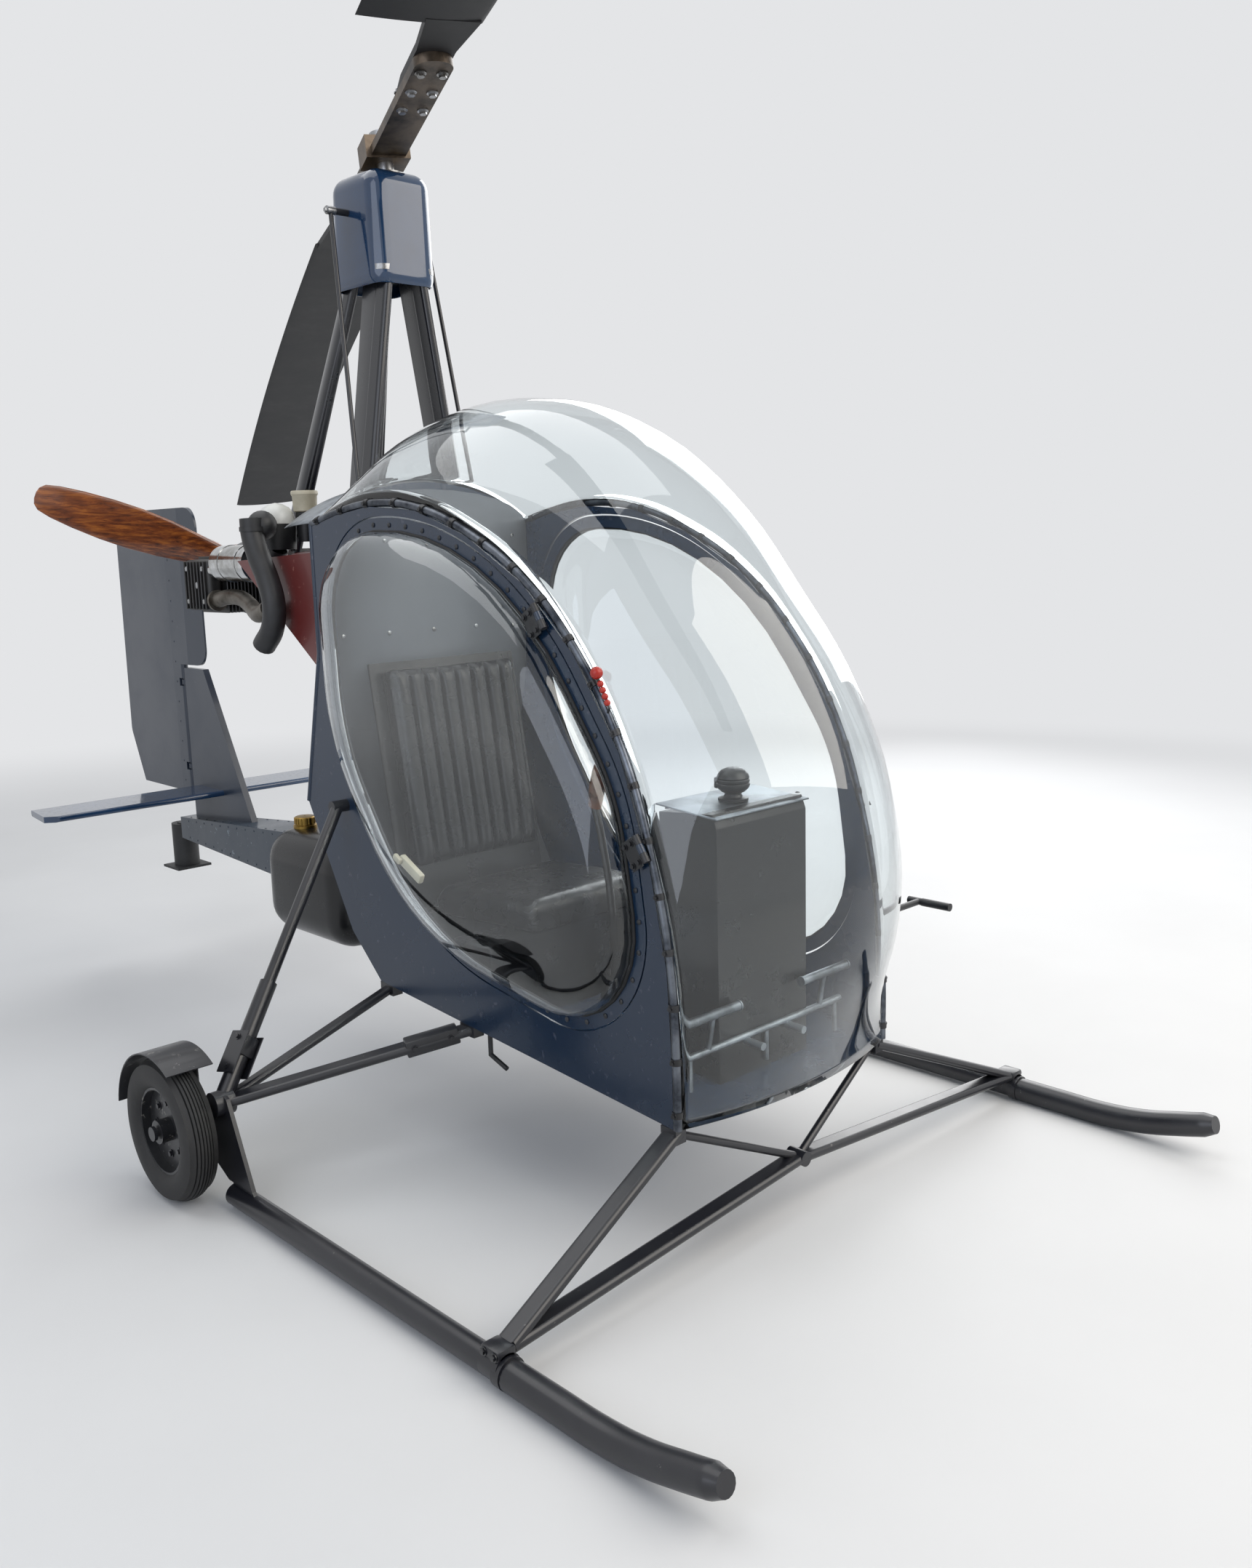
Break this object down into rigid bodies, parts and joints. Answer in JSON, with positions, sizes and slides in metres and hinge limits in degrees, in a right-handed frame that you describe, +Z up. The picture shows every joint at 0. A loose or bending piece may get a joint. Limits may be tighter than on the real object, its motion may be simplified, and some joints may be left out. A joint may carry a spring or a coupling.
{
  "type": "light autogyro",
  "caption": "Single-seat autogyro with bubble canopy, egg-shaped doors, pusher propeller, tail boom with fin and rudder, and skids with small wheels.",
  "frame": {"origin": "on the ground below the middle of the rotor hub, which is also the middle of the overall box", "axes": "+Z up, nose towards -Y, port side +X"},
  "size_m": [3.007, 6.4923, 2.6554],
  "materials": {
    "navy_panel": "gloss",
    "navy_shell": "gloss",
    "clear_window": "gloss",
    "bare_tube": "satin",
    "boom_skin": "satin",
    "gear_paint": "gloss",
    "strut_steel": "satin",
    "tyre_rubber": "matte",
    "wheel_rim": "satin",
    "guard_grey": "matte",
    "seat_cover": "matte",
    "black_shell": "matte",
    "black_fitting": "satin",
    "bumper_rubber": "matte",
    "engine_alloy": "matte",
    "exhaust_steel": "matte",
    "mount_red": "satin",
    "mast_paint": "gloss",
    "head_steel": "satin",
    "bar_alloy": "satin",
    "blade_skin": "satin",
    "prop_wood": "gloss"
  },
  "bodies": {
    "airframe": {"air_intakes": "engine_alloy", "bay_gussets": "mount_red", "brace_joint": "gear_paint", "canopy": "clear_window", "canopy_rail_port": "bare_tube", "canopy_rail_stbd": "bare_tube", "compass": "black_fitting", "console": "black_shell", "control_rods": "head_steel", "control_stick": "black_shell", "crankcase": "engine_alloy", "cylinder_port": "engine_alloy", "cylinder_stbd": "engine_alloy", "engine_mount": "mount_red", "exhaust_port": "exhaust_steel", "exhaust_stbd": "exhaust_steel", "fin": "navy_shell", "firewall": "navy_panel", "floor_pan": "navy_panel", "front_legs_port": "gear_paint", "front_legs_stbd": "gear_paint", "fuel_tank": "black_shell", "head_cover": "navy_shell", "hinge_pins": "gear_paint", "mast_legs": "mast_paint", "mudguards": "guard_grey", "pedals": "black_fitting", "pitot_tube": "black_fitting", "rear_legs_port": "gear_paint", "rear_legs_stbd": "gear_paint", "rotor_head": "head_steel", "seat_back": "seat_cover", "seat_cushion": "seat_cover", "seat_shell": "black_shell", "shock_strut_port": "strut_steel", "shock_strut_stbd": "strut_steel", "side_panel_port": "navy_panel", "side_panel_stbd": "navy_panel", "skid_port": "gear_paint", "skid_stbd": "gear_paint", "stabiliser": "navy_shell", "tail_boom": "boom_skin", "tail_bumper": "bumper_rubber", "vent_pipe": "black_fitting", "wheel_knuckle_port": "gear_paint", "wheel_knuckle_stbd": "gear_paint"},
    "rotor": {"rotor_hub": "bar_alloy", "blade_forward": "blade_skin", "blade_aft": "blade_skin"},
    "airscrew": {"propeller": "prop_wood"},
    "wheel_stbd": {"tyre_stbd": "tyre_rubber", "rim_stbd": "wheel_rim"},
    "wheel_port": {"tyre_port": "tyre_rubber", "rim_port": "wheel_rim"},
    "door_stbd": {"door_stbd": "navy_panel", "door_window_stbd": "clear_window"},
    "door_port": {"door_port": "navy_panel", "door_window_port": "clear_window"},
    "rudder": {"rudder": "navy_shell"}
  },
  "joints": [
    {"name": "rotor_spin", "type": "hinge", "parent": "airframe", "child": "rotor", "pos_m": [0, 0, 2.516], "axis": [0, 0.126, 0.992], "continuous": true},
    {"name": "propeller_spin", "type": "hinge", "parent": "airframe", "child": "airscrew", "pos_m": [0, 0.925, 1.45], "axis": [0, 1, 0], "continuous": true},
    {"name": "wheel_stbd_spin", "type": "hinge", "parent": "airframe", "child": "wheel_stbd", "pos_m": [-0.948, -0.285, 0.1725], "axis": [1, 0, 0], "continuous": true},
    {"name": "wheel_port_spin", "type": "hinge", "parent": "airframe", "child": "wheel_port", "pos_m": [0.948, -0.285, 0.1725], "axis": [1, 0, 0], "continuous": true},
    {"name": "door_stbd_hinge", "type": "hinge", "parent": "airframe", "child": "door_stbd", "pos_m": [-0.374, -1.1495, 1.117], "axis": [0, 0.5363, 0.844], "range_deg": [0, 75]},
    {"name": "door_port_hinge", "type": "hinge", "parent": "airframe", "child": "door_port", "pos_m": [0.374, -1.1495, 1.117], "axis": [0, -0.5363, -0.844], "range_deg": [0, 75]},
    {"name": "rudder_hinge", "type": "hinge", "parent": "airframe", "child": "rudder", "pos_m": [0, 1.412, 0.9], "axis": [0, 0, 1], "range_deg": [-25, 25]}
  ]
}
